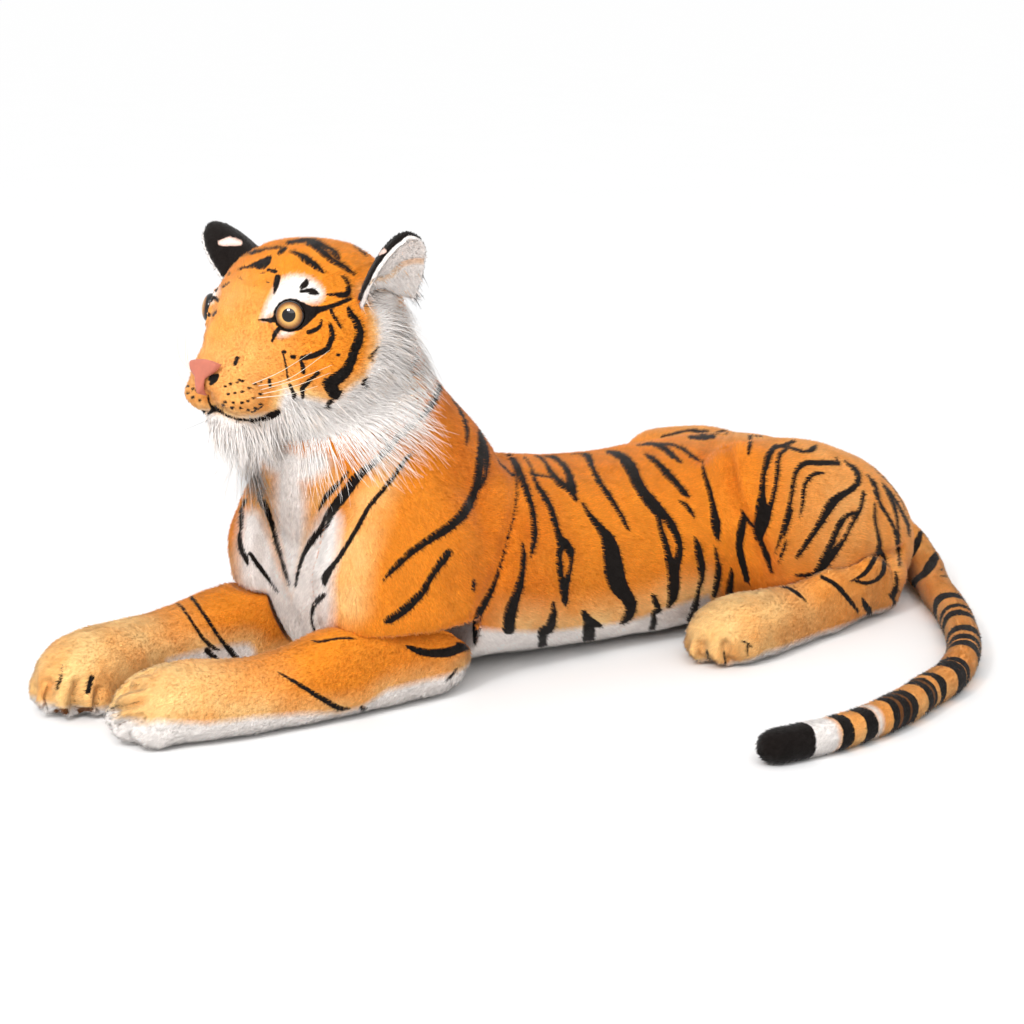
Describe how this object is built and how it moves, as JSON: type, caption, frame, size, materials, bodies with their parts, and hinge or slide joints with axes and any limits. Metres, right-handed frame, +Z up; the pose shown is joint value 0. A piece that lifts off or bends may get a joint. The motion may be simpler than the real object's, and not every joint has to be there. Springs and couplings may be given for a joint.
{
  "type": "plush tiger lying down",
  "caption": "Large stuffed plush tiger lying on its belly with its head raised, striped orange pile, white ruff and bib, domed eyes, and a long tail curled round one side.",
  "frame": {"origin": "on the floor under the middle of the belly, at the belly_rest face", "axes": "+Z up, -Y towards the head and forepaws, +X towards the tiger's own left side, where its tail lies"},
  "size_m": [0.7454, 1.1662, 0.511],
  "materials": {
    "orange_plush": "short soft pile, orange with printed black stripes",
    "white_plush": "short soft white pile",
    "long_white_pile": "long brushed white pile",
    "black_plush": "short soft black pile",
    "polyester_filling": "loose white polyester fibre",
    "pink_nose": "smooth pink velour over a firm pad",
    "eye_plastic": "clear domed plastic over an amber iris and a black pupil",
    "washer_plastic": "natural white plastic"
  },
  "bodies": {
    "torso": {"torso_back": "orange_plush", "belly_panel": "white_plush", "torso_filling": "polyester_filling", "chest_bib": "white_plush", "neck": "orange_plush", "upper_arm_left": "orange_plush", "upper_arm_right": "orange_plush", "thigh_left": "orange_plush", "thigh_right": "orange_plush", "tail_root": "orange_plush"},
    "head": {"head_skin": "orange_plush", "head_filling": "polyester_filling", "muzzle": "orange_plush", "nose": "pink_nose", "chin": "white_plush", "eye_left": "eye_plastic", "eye_right": "eye_plastic", "eye_washer_left": "washer_plastic", "eye_washer_right": "washer_plastic", "ear_back_left": "black_plush", "ear_back_right": "black_plush", "ear_lining_left": "white_plush", "ear_lining_right": "white_plush", "cheek_fur_left": "long_white_pile", "cheek_fur_right": "long_white_pile", "throat_fur": "long_white_pile"},
    "foreleg_left": {"forearm_left": "orange_plush", "forepaw_left": "orange_plush"},
    "foreleg_right": {"forearm_right": "orange_plush", "forepaw_right": "orange_plush"},
    "hind_leg_left": {"lower_leg_left": "orange_plush", "hind_paw_left": "orange_plush"},
    "hind_leg_right": {"lower_leg_right": "orange_plush", "hind_paw_right": "orange_plush"},
    "tail_first": {"tail_base": "orange_plush", "tail_middle": "orange_plush"},
    "tail_last": {"tail_bend": "orange_plush", "tail_end": "orange_plush", "tail_tip": "black_plush"}
  },
  "joints": [
    {"name": "head_turn", "type": "hinge", "parent": "torso", "child": "head", "pos_m": [0, -0.23, 0.297], "axis": [0, -0.2874, 0.9578], "range_deg": [-35, 15]},
    {"name": "foreleg_left_spread", "type": "hinge", "parent": "torso", "child": "foreleg_left", "pos_m": [0.098, -0.188, 0], "axis": [0, 0, 1], "range_deg": [0, 10]},
    {"name": "foreleg_right_spread", "type": "hinge", "parent": "torso", "child": "foreleg_right", "pos_m": [-0.098, -0.188, 0], "axis": [0, 0, -1], "range_deg": [0, 10]},
    {"name": "hind_leg_left_spread", "type": "hinge", "parent": "torso", "child": "hind_leg_left", "pos_m": [0.145, 0.412, 0], "axis": [0, 0, 1], "range_deg": [0, 8]},
    {"name": "hind_leg_right_spread", "type": "hinge", "parent": "torso", "child": "hind_leg_right", "pos_m": [-0.145, 0.412, 0], "axis": [0, 0, -1], "range_deg": [0, 8]},
    {"name": "tail_sway", "type": "hinge", "parent": "torso", "child": "tail_first", "pos_m": [0.07, 0.55917, 0.02963], "axis": [0, 0, 1], "range_deg": [-6, 14]},
    {"name": "tail_curl", "type": "hinge", "parent": "tail_first", "child": "tail_last", "pos_m": [0.3943, 0.31203, 0.01961], "axis": [0, 0, 1], "range_deg": [-14, 14]}
  ]
}
